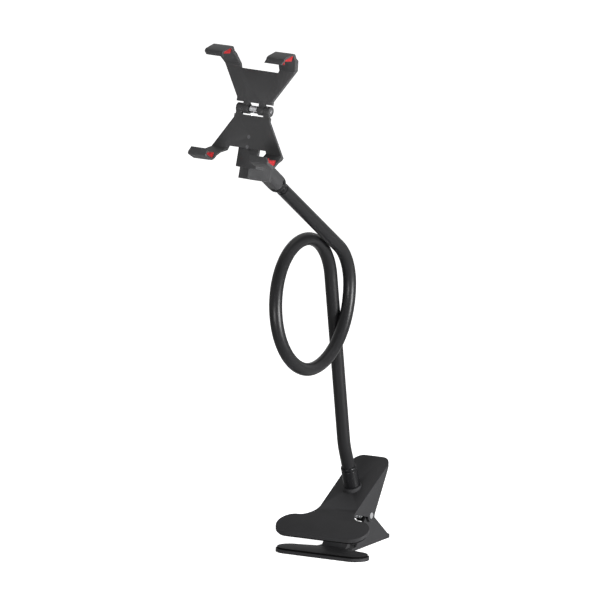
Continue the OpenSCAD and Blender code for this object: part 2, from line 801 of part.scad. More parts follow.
module clip_upper_half() {
    color([0.24, 0.24, 0.24]) clip_place()
        clip_half(inner_knuckle, clip_pin_d / 2 + running_fit);
}

module clip_lower_half() {
    color([0.24, 0.24, 0.24]) clip_place() difference() {
        mirror([0, 0, 1]) clip_half(outer_knuckle, clip_pin_d / 2 + fixed_fit);
        bracket_screw_places() translate([0, 0, -eps])
            cylinder(h = arm_t + 2 * eps, d = bracket_screw_d + 2 * fixed_fit);
    }
}

module clip_pin() {
    color([0.78, 0.78, 0.8]) clip_place() translate([0, hinge_back, 0]) rotate([0, 90, 0])
        cylinder(h = 2 * hinge_half_w, d = clip_pin_d, center = true);
}

module clip_spring() {
    radius = clip_pin_d / 2 + clip_wire_d / 2 + 0.5;
    lean = 7.8;
    turns = 5;
    leg = 11;
    half_x = (clip_wire_d + 0.08) * turns / 2;
    a1 = 360 * turns + lean;
    start = [-half_x, radius * cos(lean), -radius * sin(lean)];
    stop = [half_x, radius * cos(lean), radius * sin(lean)];
    path = concat(
        [start + leg * [0, -sin(lean), -cos(lean)], start + 1.2 * [0, -sin(lean), -cos(lean)]],
        coil(-half_x, half_x, radius, -lean, a1, 12 * turns),
        [stop + 1.2 * [0, -sin(lean), cos(lean)], stop + leg * [0, -sin(lean), cos(lean)]]
    );
    color([0.8, 0.8, 0.82]) clip_place() translate([0, hinge_back, 0])
        wire(path, clip_wire_d, [1, 0, 0]);
}

// Red pads: soft wedges between the claws' shells and the phone's edge
module claw_pads() {
    inset = 0.6;
    front = lip_in;
    for (side = [-1, 1]) translate([side * claw_pitch / 2, 0, 0])
        across(claw_w - 2 * inset) polygon([
            [front, lip_low + 0.5], roof_front, roof_peak, roof_back,
            [roof_back.x, pad_face], [-phone_clearance, pad_face],
            [-phone_clearance, lip_low + 0.5]
        ]);
}

module claw_pads_upper() {
    color([0.8, 0.08, 0.08]) clip_place() claw_pads();
}

module claw_pads_lower() {
    color([0.8, 0.08, 0.08]) clip_place() mirror([0, 0, 1]) claw_pads();
}

clamp_upper_plate();
clamp_lower_plate();
clamp_upper_pad();
clamp_lower_pad();
clamp_pin();
clamp_spring();
clamp_spring_sleeve();
arm_foot_ring();
arm_foot_ferrule();
arm_foot_screw();
gooseneck_foot();
gooseneck_lower();
gooseneck_loop();
gooseneck_upper();
gooseneck_tip();
core_foot();
core_lower();
core_loop();
core_upper();
core_tip();
gooseneck_top_cap();
ball_stud();
ball_collet();
ball_nut();
ball_socket();
bracket_screws();
clip_lower_half();
clip_upper_half();
clip_pin();
clip_spring();
claw_pads_lower();
claw_pads_upper();
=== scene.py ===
"""Looks of the clip phone holder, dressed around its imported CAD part."""

import logging
import math
from dataclasses import dataclass, field
from enum import Enum
from typing import Callable, Sequence

import bpy
from mathutils import Matrix, Vector


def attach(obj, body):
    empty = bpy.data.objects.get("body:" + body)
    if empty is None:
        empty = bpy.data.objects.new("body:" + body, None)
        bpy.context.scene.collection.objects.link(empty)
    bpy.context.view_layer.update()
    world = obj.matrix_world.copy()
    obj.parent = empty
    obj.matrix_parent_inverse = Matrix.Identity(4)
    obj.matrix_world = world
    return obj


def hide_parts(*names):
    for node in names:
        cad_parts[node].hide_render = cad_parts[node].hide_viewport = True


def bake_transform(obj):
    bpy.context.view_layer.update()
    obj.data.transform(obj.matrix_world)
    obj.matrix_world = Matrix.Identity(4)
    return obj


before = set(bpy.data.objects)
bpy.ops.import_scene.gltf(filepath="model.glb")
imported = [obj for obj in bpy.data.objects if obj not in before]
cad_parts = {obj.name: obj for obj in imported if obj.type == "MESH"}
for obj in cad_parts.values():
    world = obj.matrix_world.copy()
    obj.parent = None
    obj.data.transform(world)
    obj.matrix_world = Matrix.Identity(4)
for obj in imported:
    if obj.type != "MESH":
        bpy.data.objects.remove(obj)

LOG = logging.getLogger("phone_holder")
MM = 0.001
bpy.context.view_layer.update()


class Body(Enum):
    """Moving bodies of the holder that a piece can ride on."""

    CLAMP = "desk_clamp"
    LOWER_JAW = "lower_jaw"
    ARM_LOWER = "arm_lower"
    ARM_LOOP = "arm_loop"
    ARM_UPPER = "arm_upper"
    ARM_TIP = "arm_tip"
    HEAD = "head"
    NUT = "nut"
    UPPER_CLAWS = "upper_claws"


class Slot(Enum):
    """Material slots of the record."""

    CLAMP = "clamp_plastic"
    PAD = "pad_rubber"
    STEEL = "spring_steel"
    SLEEVE = "tube_sleeve"
    HEAD = "head_plastic"
    RED = "red_rubber"


class Bench:
    """Edit mode work that every sub-assembly shares.

    Distances are in metres and angles in degrees.
    """

    SAME_POINT = 2e-6
    SAME_CAD_POINT = 4e-6
    FLAT_ANGLE = 0.6
    SHARP_ANGLE = 32.0
    MOULD_ANGLE = 34.0
    RIM_ANGLE = 30.0
    EASE_STEPS = 3
    TURN_STEPS = 64

    @staticmethod
    def clear() -> None:
        """Leaves edit mode and deselects every object."""
        if bpy.context.object is not None and bpy.context.object.mode != "OBJECT":
            bpy.ops.object.mode_set(mode="OBJECT")
        bpy.ops.object.select_all(action="DESELECT")

    @staticmethod
    def hold(piece: bpy.types.Object) -> None:
        """Makes one piece the only selected and the active object.

        Args:
            piece: The object to work on.
        """
        Bench.clear()
        piece.select_set(True)
        bpy.context.view_layer.objects.active = piece

    @staticmethod
    def edit(piece: bpy.types.Object) -> None:
        """Opens a piece in edit mode with everything selected.

        Args:
            piece: The object to open.
        """
        Bench.hold(piece)
        bpy.ops.object.mode_set(mode="EDIT")
        bpy.ops.mesh.select_mode(type="VERT")
        bpy.ops.mesh.select_all(action="SELECT")

    @staticmethod
    def pick(piece: bpy.types.Object, kind: str, test: Callable[..., bool]) -> int:
        """Selects the faces or the points of a piece that pass a test.

        Args:
            piece: The object that is open in edit mode.
            kind: FACE or VERT, Blender's name for what is selected.
            test: Says of one face or point whether it is wanted.

        Returns:
            How many were picked.
        """
        bpy.ops.mesh.select_mode(type=kind)
        bpy.ops.mesh.select_all(action="DESELECT")
        bpy.ops.object.mode_set(mode="OBJECT")
        count = 0
        for part in piece.data.polygons if kind == "FACE" else piece.data.vertices:
            part.select = bool(test(part))
            count += part.select
        bpy.ops.object.mode_set(mode="EDIT")
        return count

    @staticmethod
    def settle(piece: bpy.types.Object) -> None:
        """Moves a piece's place and turn into its mesh.

        Args:
            piece: The object to settle.
        """
        Bench.hold(piece)
        bpy.ops.object.transform_apply(location=True, rotation=True, scale=True)

    @staticmethod
    def apply_all(piece: bpy.types.Object) -> None:
        """Applies the piece's modifiers in order.

        Args:
            piece: The object whose modifiers become mesh.
        """
        Bench.hold(piece)
        for modifier in list(piece.modifiers):
            bpy.ops.object.modifier_apply(modifier=modifier.name)

    @staticmethod
    def smooth(piece: bpy.types.Object, degrees: float = SHARP_ANGLE) -> None:
        """Shades a piece smooth, keeping edges sharper than an angle.

        Args:
            piece: The object to shade.
            degrees: Edges that turn more than this stay sharp.
        """
        Bench.hold(piece)
        bpy.ops.object.shade_smooth_by_angle(angle=math.radians(degrees))

    @staticmethod
    def outward(piece: bpy.types.Object) -> None:
        """Merges doubles, then turns the faces outwards.

        Args:
            piece: The object to mend.
        """
        Bench.edit(piece)
        bpy.ops.mesh.remove_doubles(threshold=Bench.SAME_POINT)
        bpy.ops.mesh.select_all(action="SELECT")
        bpy.ops.mesh.normals_make_consistent(inside=False)
        bpy.ops.object.mode_set(mode="OBJECT")

    @staticmethod
    def ease(piece: bpy.types.Object, width: float, angle: float, corner: str) -> None:
        """Rounds the sharp edges of a piece.

        Args:
            piece: The object to work on.
            width: Width of the eased edge, or 0 to leave all edges sharp.
            angle: Edges that turn more than this are eased.
            corner: Blender's name for how the eased edges meet at an outer corner.
        """
        if width <= 0:
            return
        bevel = piece.modifiers.new("eased edges", "BEVEL")
        bevel.width = width
        bevel.segments = Bench.EASE_STEPS
        bevel.limit_method = "ANGLE"
        bevel.angle_limit = math.radians(angle)
        bevel.use_clamp_overlap = True
        bevel.miter_outer = corner
        Bench.apply_all(piece)

    @staticmethod
    def eased_copy(node: str, name: str, width: float) -> bpy.types.Object:
        """Copies a CAD node's mesh and eases its sharp edges as a mould does.

        Args:
            node: The CAD node to copy.
            name: The new piece's name.
            width: Width of the eased edge, or 0 to leave all edges sharp.

        Returns:
            The new piece, with its place in its mesh.
        """
        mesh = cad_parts[node].data.copy()
        mesh.name = name
        mesh.materials.clear()
        piece = bpy.data.objects.new(name, mesh)
        bpy.context.scene.collection.objects.link(piece)
        Bench.edit(piece)
        bpy.ops.mesh.customdata_custom_splitnormals_clear()
        bpy.ops.mesh.remove_doubles(threshold=Bench.SAME_CAD_POINT)
        bpy.ops.mesh.select_all(action="SELECT")
        bpy.ops.mesh.dissolve_limited(angle_limit=math.radians(Bench.FLAT_ANGLE))
        bpy.ops.object.mode_set(mode="OBJECT")
        Bench.ease(piece, width, Bench.MOULD_ANGLE, "MITER_ARC")
        Bench.smooth(piece)
        return piece

    @staticmethod
    def turned(name: str, place: Matrix, profile: Sequence[tuple[float, float]],
               width: float) -> bpy.types.Object:
        """Turns a profile about the local Z axis of a place.

        Args:
            name: The new piece's name.
            place: The frame whose Z axis is the axis of turning.
            profile: Radii and heights along the axis.
            width: Width of the eased rims.

        Returns:
            The turned piece.
        """
        Bench.clear()
        first = place @ Vector((profile[0][0], 0, profile[0][1]))
        bpy.ops.mesh.primitive_plane_add(size=MM, location=first)
        piece = bpy.context.object
        piece.name = name
        Bench.settle(piece)
        Bench.edit(piece)
        bpy.ops.mesh.merge(type="CENTER")
        before = first
        for radius, height in profile[1:]:
            point = place @ Vector((radius, 0, height))
            bpy.ops.mesh.extrude_region_move(
                TRANSFORM_OT_translate={"value": point - before})
            before = point
        bpy.ops.mesh.select_all(action="SELECT")
        axis = (place.to_3x3() @ Vector((0, 0, 1))).normalized()
        bpy.ops.mesh.spin(steps=Bench.TURN_STEPS, angle=2 * math.pi,
                          center=place.translation, axis=axis)
        bpy.ops.object.mode_set(mode="OBJECT")
        Bench.outward(piece)
        Bench.ease(piece, width, Bench.RIM_ANGLE, "MITER_SHARP")
        Bench.smooth(piece)
        return piece

    @staticmethod
    def paint(piece: bpy.types.Object, finish: bpy.types.Material) -> None:
        """Gives a piece one material over all.

        Args:
            piece: The object to paint.
            finish: The material it wears.
        """
        piece.data.materials.clear()
        piece.data.materials.append(finish)

    @staticmethod
    def stand_in(piece: bpy.types.Object, node: str, slot: Slot,
                 finish: bpy.types.Material) -> None:
        """Gives a finished piece its material and hides the CAD node that it stands for.

        Args:
            piece: The finished piece.
            node: The CAD node it stands for.
            slot: Not used.
            finish: The material it wears.
        """
        Bench.paint(piece, finish)
        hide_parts(node)
        LOG.info("piece %s: %d faces", piece.name, len(piece.data.polygons))

    @staticmethod
    def fit_out(piece: bpy.types.Object, body: Body, node: str, slot: Slot,
                finish: bpy.types.Material) -> None:
        """Lets a finished piece ride on a body in its CAD node's stead.

        Args:
            piece: The finished piece.
            body: The body it rides on.
            node: The CAD node it stands for.
            slot: The record's material slot.
            finish: The material it wears.
        """
        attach(piece, body.value)
        Bench.stand_in(piece, node, slot, finish)


class Effects:
    """Shader work that more than one finish uses."""

    FINE_DETAIL = 3.0
    FINE_ROUGHNESS = 0.6
    SLOW_DETAIL = 2.0

    _grain: bpy.types.NodeTree | None = None

    @classmethod
    def moulded_grain(cls) -> bpy.types.NodeTree:
        """Builds, once, the fine grain and slow patches of a moulded surface.

        Returns:
            The node group, with a height and a patch value from 0 to 1.
        """
        if cls._grain is not None:
            return cls._grain
        tree = bpy.data.node_groups.new("moulded grain", "ShaderNodeTree")
        for name, way, kind in (
            ("Vector", "INPUT", "NodeSocketVector"),
            ("Grain Scale", "INPUT", "NodeSocketFloat"),
            ("Patch Scale", "INPUT", "NodeSocketFloat"),
            ("Height", "OUTPUT", "NodeSocketFloat"),
            ("Patch", "OUTPUT", "NodeSocketFloat"),
        ):
            tree.interface.new_socket(name, in_out=way, socket_type=kind)
        source = tree.nodes.new("NodeGroupInput")
        result = tree.nodes.new("NodeGroupOutput")
        fine = tree.nodes.new("ShaderNodeTexNoise")
        fine.inputs["Detail"].default_value = cls.FINE_DETAIL
        fine.inputs["Roughness"].default_value = cls.FINE_ROUGHNESS
        slow = tree.nodes.new("ShaderNodeTexNoise")
        slow.inputs["Detail"].default_value = cls.SLOW_DETAIL
        tree.links.new(source.outputs["Vector"], fine.inputs["Vector"])
        tree.links.new(source.outputs["Vector"], slow.inputs["Vector"])
        tree.links.new(source.outputs["Grain Scale"], fine.inputs["Scale"])
        tree.links.new(source.outputs["Patch Scale"], slow.inputs["Scale"])
        tree.links.new(fine.outputs["Fac"], result.inputs["Height"])
        tree.links.new(slow.outputs["Fac"], result.inputs["Patch"])
        cls._grain = tree
        return tree

    @classmethod
    def grained(cls, name: str, scales: tuple[float, float],
                tones: tuple[Sequence[float], Sequence[float]], roughs: tuple[float, float],
                ) -> tuple[bpy.types.Material, bpy.types.ShaderNode, bpy.types.ShaderNode]:
        """Builds a material whose tone and roughness follow the moulded grain.

        Args:
            name: The material's name.
            scales: Scales of the grain and of its patches, in counts per metre.
            tones: Linear colours of the darkest and of the palest patches.
            roughs: Least and greatest roughness.

        Returns:
            The material, its surface shader and its grain.
        """
        material = bpy.data.materials.new(name)
        material.use_nodes = True
        tree = material.node_tree
        shader = tree.nodes["Principled BSDF"]
        place = tree.nodes.new("ShaderNodeTexCoord")
        grain = tree.nodes.new("ShaderNodeGroup")
        grain.node_tree = cls.moulded_grain()
        grain.inputs["Grain Scale"].default_value = scales[0]
        grain.inputs["Patch Scale"].default_value = scales[1]
        tree.links.new(place.outputs["Object"], grain.inputs["Vector"])
        tone = tree.nodes.new("ShaderNodeMix")
        tone.data_type = "RGBA"
        tone.inputs["A"].default_value = (*tones[0], 1)
        tone.inputs["B"].default_value = (*tones[1], 1)
        tree.links.new(grain.outputs["Patch"], tone.inputs["Factor"])
        tree.links.new(tone.outputs["Result"], shader.inputs["Base Color"])
        rough = tree.nodes.new("ShaderNodeMapRange")
        rough.inputs["To Min"].default_value = roughs[0]
        rough.inputs["To Max"].default_value = roughs[1]
        tree.links.new(grain.outputs["Height"], rough.inputs["Value"])
        tree.links.new(rough.outputs["Result"], shader.inputs["Roughness"])
        return material, shader, grain


@dataclass(frozen=True)
class Moulded:
    """A moulded plastic or rubber finish.

    The colour is linear. The grain and patch scales are counts per metre, and the
    grain's depth is in metres.
    """

    name: str
    colour: tuple[float, float, float]
    roughness: float
    specular: float = 0.5
    grain_scale: float = 2600.0
    grain_depth: float = 0.00004
    patch_scale: float = 60.0
    patch: float = 0.12
    rough_swing: float = 0.06
    bump_strength: float = 0.5

    def build(self) -> bpy.types.Material:
        """Builds the material.

        Returns:
            The new material.
        """
        dark = [c * (1 - self.patch) for c in self.colour]
        pale = [min(1.0, c * (1 + self.patch)) for c in self.colour]
        material, shader, grain = Effects.grained(
            self.name, (self.grain_scale, self.patch_scale), (dark, pale),
            (self.roughness - self.rough_swing, self.roughness + self.rough_swing))
        shader.inputs["Specular IOR Level"].default_value = self.specular
        tree = material.node_tree
        bump = tree.nodes.new("ShaderNodeBump")
        bump.inputs["Strength"].default_value = self.bump_strength
        bump.inputs["Distance"].default_value = self.grain_depth
        tree.links.new(grain.outputs["Height"], bump.inputs["Height"])
        tree.links.new(bump.outputs["Normal"], shader.inputs["Normal"])
        return material


@dataclass(frozen=True)
class BrightMetal:
    """A metal finish with fine marks, its scale in counts per metre."""

    name: str
    colour: tuple[float, float, float]
    roughness: float
    mark_scale: float = 900.0
    marks_in_patch: float = 6.0
    dark_share: float = 0.86
    smooth_share: float = 0.8
    rough_share: float = 1.3

    def build(self) -> bpy.types.Material:
        """Builds the material.

        Returns:
            The new material.
        """
        dark = [c * self.dark_share for c in self.colour]
        material, shader, _ = Effects.grained(
            self.name, (self.mark_scale, self.mark_scale / self.marks_in_patch),
            (dark, self.colour),
            (self.roughness * self.smooth_share, self.roughness * self.rough_share))
        shader.inputs["Metallic"].default_value = 1.0
        return material


@dataclass
class FinishRack:
    """All finishes of the holder, built once."""

    clamp: bpy.types.Material = field(init=False)
    # near black of the pads' side faces: painted shade along the pad rims
    pad: bpy.types.Material = field(init=False)
    sleeve: bpy.types.Material = field(init=False)
    ferrule: bpy.types.Material = field(init=False)
    head: bpy.types.Material = field(init=False)
    block: bpy.types.Material = field(init=False)
    red: bpy.types.Material = field(init=False)
    steel: bpy.types.Material = field(init=False)
    core: bpy.types.Material = field(init=False)
    dark_steel: bpy.types.Material = field(init=False)
    white: bpy.types.Material = field(init=False)

    def __post_init__(self) -> None:
        """Builds each material."""
        self.clamp = Moulded("clamp black matte", (0.020, 0.020, 0.021), 0.6, 0.10).build()
        # The pads' near black shows only on their side faces, as painted shade along the rim;
        # their broad faces get the plates' grey.
        self.pad = Moulded("jaw pad rim painted shade", (0.002, 0.002, 0.002), 0.8, 0.04,
                           grain_scale=1400.0).build()
        self.sleeve = Moulded("sleeve satin black", (0.008, 0.008, 0.0085), 0.32, 0.13,
                              grain_scale=3400.0, grain_depth=0.00003).build()
        self.ferrule = Moulded("ferrule black semi gloss", (0.004, 0.004, 0.0045), 0.27, 0.16,
                               grain_depth=0.00001).build()
        self.head = Moulded("clip black satin", (0.026, 0.026, 0.027), 0.44, 0.28).build()
        self.block = Moulded("bracket black satin", (0.020, 0.020, 0.021), 0.48, 0.25).build()
        self.red = Moulded("claw pad red", (0.20, 0.004, 0.006), 0.5, 0.25,
                           patch=0.06, grain_scale=1800.0).build()
        self.steel = BrightMetal("spring wire bright", (0.72, 0.73, 0.75), 0.24).build()
        self.core = BrightMetal("core wire dull", (0.55, 0.55, 0.56), 0.45).build()
        self.dark_steel = BrightMetal("screw black oxide", (0.10, 0.10, 0.105), 0.4).build()
        self.white = Moulded("collet white", (0.62, 0.62, 0.58), 0.45, 0.4).build()

    def dress_hidden(self) -> None:
        """Gives the CAD nodes that no new piece stands for their finish."""
        plain = {
            "clamp_pin": self.steel, "clamp_spring_sleeve": self.ferrule,
            "arm_foot_screw": self.steel, "core_foot": self.core, "core_lower": self.core,
            "core_loop": self.core, "core_upper": self.core, "core_tip": self.core,
            "ball_stud": self.steel, "ball_collet": self.white,
            "bracket_screws": self.dark_steel, "clip_pin": self.steel,
        }
        for node, finish in plain.items():
            Bench.paint(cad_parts[node], finish)


class StepKind(Enum):
    """Ways in which the arm's path goes on."""

    RUN = "run"
    BEND = "bend"
    ROLL = "roll"


@dataclass(frozen=True)
class Step:
    """One step of the path.

    The size is a run's length or a bend's radius in millimetres, negative for a bend to
    the back. The angle is a bend's or a roll's, in degrees.
    """

    kind: StepKind
    size: float = 0.0
    angle: float = 0.0

    @property
    def matrix(self) -> Matrix:
        """The step as a matrix."""
        if self.kind is StepKind.RUN:
            return Matrix.Translation((0, 0, self.size * MM))
        if self.kind is StepKind.ROLL:
            return Matrix.Rotation(math.radians(self.angle), 4, "Z")
        out = Matrix.Translation((0, -self.size * MM, 0))
        back = Matrix.Translation((0, self.size * MM, 0))
        return out @ Matrix.Rotation(math.radians(self.angle), 4, "X") @ back


@dataclass
class ArmPath:
    """The gooseneck's centreline, as runs, bends and rolls, in millimetres."""

    foot: tuple[float, float, float] = (0.0, -0.8, 21.1566)
    foot_tilt: float = 20.0
    foot_run: float = 34.5
    foot_bend_r: float = 55.0
    run_lean: float = 8.5
    lower_run: float = 137.5
    loop_top_r: float = 43.0
    loop_front_r: float = 53.4
    loop_bottom_r: float = 49.4
    loop_back_r: float = 58.0
    last_bend_r: float = 41.0
    upper_lean: float = 55.2
    upper_run: float = 119.0
    strand_shift: float = 10.6
    foot_hinge_up: float = 12.0
    hinge_pitch: float = 24.0
    head_hinge_back: float = 27.0

    @staticmethod
    def run(length: float) -> Matrix:
        """Returns the matrix of a straight run of a length in millimetres."""
        return Step(StepKind.RUN, length).matrix

    @property
    def loop_roll(self) -> float:
        """Lean of the loop's front half, in degrees."""
        across = self.loop_front_r + self.loop_bottom_r
        return math.degrees(math.asin(self.strand_shift / across))

    @property
    def start(self) -> Matrix:
        """Frame of the arm's foot on the handle."""
        place = Matrix.Translation(Vector(self.foot) * MM)
        return place @ Matrix.Rotation(math.radians(self.foot_tilt), 4, "X")

    @property
    def foot_bend(self) -> Step:
        """The bend from the foot's slope to the lower run's lean."""
        return Step(StepKind.BEND, -self.foot_bend_r, self.run_lean - self.foot_tilt)

    @property
    def hinge_1(self) -> Matrix:
        """Frame of the first bending point."""
        place = self.start @ self.run(self.foot_run) @ self.foot_bend.matrix
        return place @ self.run(self.foot_hinge_up)

    @property
    def hinge_2(self) -> Matrix:
        """Frame of the second bending point."""
        return self.hinge_1 @ self.run(self.hinge_pitch)

    @property
    def hinge_3(self) -> Matrix:
        """Frame of the third bending point."""
        place = self.hinge_2
        for step in self.loop_steps():
            place = place @ step.matrix
        return place

    @property
    def hinge_4(self) -> Matrix:
        """Frame of the fourth bending point."""
        return self.hinge_3 @ self.run(self.hinge_pitch)

    @property
    def ball(self) -> Matrix:
        """Frame of the ball joint's middle."""
        return self.hinge_4 @ self.run(self.head_hinge_back)

    def loop_steps(self, cut: float = 0.0) -> list[Step]:
        """Lists the steps of the loop between the second and third bending points.

        Args:
            cut: Length left off at each end, in millimetres.

        Returns:
            The steps in their order.
        """
        lower = self.lower_run - self.foot_hinge_up - self.hinge_pitch - cut
        upper = self.upper_run - self.head_hinge_back - self.hinge_pitch - cut
        roll = Step(StepKind.ROLL, angle=self.loop_roll)
        return [
            Step(StepKind.RUN, lower),
            Step(StepKind.BEND, self.loop_top_r, 90 - self.run_lean),
            roll,
            Step(StepKind.BEND, self.loop_front_r, 90.0),
            Step(StepKind.BEND, self.loop_bottom_r, 90.0),
            roll,
            Step(StepKind.BEND, self.loop_back_r, 90.0),
            Step(StepKind.BEND, self.last_bend_r, self.upper_lean),
            Step(StepKind.RUN, upper),
        ]


class SleeveDrawer:
    """Draws a round sleeve ring by ring along the arm."""

    SIDES = 40
    SHARP_ANGLE = 40.0

    def __init__(self, name: str, start: Matrix, radius: float) -> None:
        """Starts with a ring across the path.

        Args:
            name: The piece's name.
            start: Frame of the first ring, its Z axis along the path.
            radius: Radius of the sleeve in metres.
        """
        self.here = start.copy()
        Bench.clear()
        bpy.ops.mesh.primitive_circle_add(vertices=self.SIDES, radius=radius,
                                          location=start.translation,
                                          rotation=start.to_euler())
        self.piece = bpy.context.object
        self.piece.name = name
        Bench.settle(self.piece)
        Bench.edit(self.piece)

    def straight(self, length: float, pitch: float = 1.5) -> None:
        """Draws the sleeve straight on.

        Args:
            length: Length in millimetres.
            pitch: Distance between rings in millimetres.
        """
        count = max(1, round(length / pitch))
        step = self.here.to_3x3() @ Vector((0, 0, length * MM / count))
        for _ in range(count):
            bpy.ops.mesh.extrude_region_move(TRANSFORM_OT_translate={"value": step})
        self.here = self.here @ ArmPath.run(length)

    def curve(self, bend: Step, pitch: float = 3.0) -> None:
        """Draws the sleeve round a bend.

        Args:
            bend: The bend.
            pitch: Degrees between rings.
        """
        centre = self.here @ Vector((0, -bend.size * MM, 0))
        axis = (self.here.to_3x3() @ Vector((1, 0, 0))).normalized()
        bpy.ops.mesh.spin(steps=max(2, round(abs(bend.angle) / pitch)),
                          angle=-math.radians(bend.angle), center=centre, axis=axis)
        self.here = self.here @ bend.matrix

    def follow(self, step: Step, run_pitch: float) -> None:
        """Draws the sleeve on by one step of the path.

        Args:
            step: The step. A roll draws nothing and only turns the path.
            run_pitch: Distance between the rings of a run, in millimetres.
        """
        if step.kind is StepKind.RUN:
            self.straight(step.size, run_pitch)
        elif step.kind is StepKind.BEND:
            self.curve(step)
        else:
            self.here = self.here @ step.matrix

    def finish(self) -> bpy.types.Object:
        """Closes both ends and shades the sleeve.

        Returns:
            The finished sleeve.
        """
        Bench.edit(self.piece)
        bpy.ops.mesh.fill_holes(sides=0)
        bpy.ops.object.mode_set(mode="OBJECT")
        Bench.outward(self.piece)
        Bench.smooth(self.piece, self.SHARP_ANGLE)
        return self.piece


@dataclass
class DeskClamp:
    """The sprung clamp that grips a table's edge, with the foot of the arm.

    The jaws' rear edge is drawn forward from jaw_rear to slim_rear, and the inner corners
    stretch from there to corner_end. The upper jaw's sheet slopes by jaw_tilt degrees from
    its bend at bend_y and bend_z. A face is broad where its normal's upright part is over
    broad_rise. The ferrule's profile is given as radii and heights in millimetres.
    """

    rack: FinishRack
    plate_ease: float = 0.55 * MM
    pad_ease: float = 0.4 * MM
    ring_ease: float = 0.35 * MM
    rim_ease: float = 0.15 * MM
    jaw_front: float = -60.0 * MM
    jaw_rear: float = -34.0 * MM
    slim_rear: float = -38.0 * MM
    corner_end: float = -22.5 * MM
    neck_half: float = 17.0 * MM
    neck_gap: float = 0.05 * MM
    bend_y: float = -25.3 * MM
    bend_z: float = 7.58 * MM
    place_step: float = 0.01 * MM
    jaw_tilt: float = 22.0
    broad_rise: float = 0.7
    ferrule_profile: tuple[tuple[float, float], ...] = (
        (2.1, 2.4), (6.8, 2.4), (6.85, 3.6), (6.7, 4.1), (6.3, 16.6), (5.8, 16.9),
        (5.8, 17.5), (6.35, 17.8), (6.35, 19.3), (6.1, 19.9), (5.3, 19.9),
        (5.3, 6.45), (2.1, 6.45), (2.1, 2.4),
    )

    def build(self, path: ArmPath) -> None:
        """Builds the plates, pads and foot.

        Args:
            path: The arm's centreline, for the foot's frame.
        """
        rack = self.rack
        for node, name, body, tilt in (
            ("clamp_upper_plate", "clamp_top_jaw", Body.CLAMP, self.jaw_tilt),
            ("clamp_lower_plate", "clamp_base_jaw", Body.LOWER_JAW, 0.0),
        ):
            plate = Bench.eased_copy(node, name, self.plate_ease)
            self.slim_jaw(plate, tilt)
            Bench.fit_out(plate, body, node, Slot.CLAMP, rack.clamp)
        for node, name, body, tilt in (
            ("clamp_upper_pad", "jaw_pad_top", Body.CLAMP, self.jaw_tilt),
            ("clamp_lower_pad", "jaw_pad_base", Body.LOWER_JAW, 0.0),
        ):
            pad = Bench.eased_copy(node, name, self.pad_ease)
            self.slim_jaw(pad, tilt)
            Bench.fit_out(pad, body, node, Slot.PAD, rack.pad)
            # the pad's side faces stay near black, as painted shade along its rim
            self.grey_tops_shade_sides(pad)
        ring = Bench.eased_copy("arm_foot_ring", "foot_ring", self.ring_ease)
        Bench.fit_out(ring, Body.CLAMP, "arm_foot_ring", Slot.CLAMP, rack.clamp)
        profile = [(radius * MM, up * MM) for radius, up in self.ferrule_profile]
        ferrule = Bench.turned("foot_ferrule", path.start, profile, self.rim_ease)
        Bench.fit_out(ferrule, Body.CLAMP, "arm_foot_ferrule", Slot.HEAD, rack.ferrule)

    def slim_jaw(self, piece: bpy.types.Object, tilt: float) -> None:
        """Draws a jaw's wings forward, so that it is slimmer than in the solids.

        Args:
            piece: A plate or a pad, as a copy of its CAD node.
            tilt: Slope of the jaw's sheet, in degrees.
        """
        slope = Matrix.Rotation(math.radians(tilt), 3, "X")
        wide = [abs(point.co.x) for point in piece.data.vertices if point.co.y > 0]
        neck = max(wide, default=self.neck_half) + self.neck_gap
        Bench.edit(piece)
        for low, high, centre in ((self.jaw_front, self.jaw_rear, self.jaw_front),
                                  (self.jaw_rear, self.corner_end, self.corner_end)):
            scale = (self.slim_rear - centre) / (self.jaw_rear - centre)
            if Bench.pick(piece, "VERT", lambda point: abs(point.co.x) > neck
                          and low < point.co.y <= high + self.place_step):
                height = self.bend_z + (centre - self.bend_y) * math.tan(math.radians(tilt))
                bpy.ops.transform.resize(value=(1, scale, 1), orient_type="GLOBAL",
                                         orient_matrix=slope.transposed(),
                                         center_override=(0, centre, height))
        bpy.ops.object.mode_set(mode="OBJECT")

    def grey_tops_shade_sides(self, pad: bpy.types.Object) -> None:
        """Gives a pad's broad gripping faces the grey of the plates, as in the photo; its
        side faces keep the near black pad finish as painted shade.

        Args:
            pad: The pad, which keeps its black rim as painted shade.
        """
        pad.data.materials.append(self.rack.clamp)
        Bench.edit(pad)
        Bench.pick(pad, "FACE", lambda face: abs(face.normal.z) > self.broad_rise)
        pad.active_material_index = 1
        bpy.ops.object.material_slot_assign()
        bpy.ops.object.mode_set(mode="OBJECT")


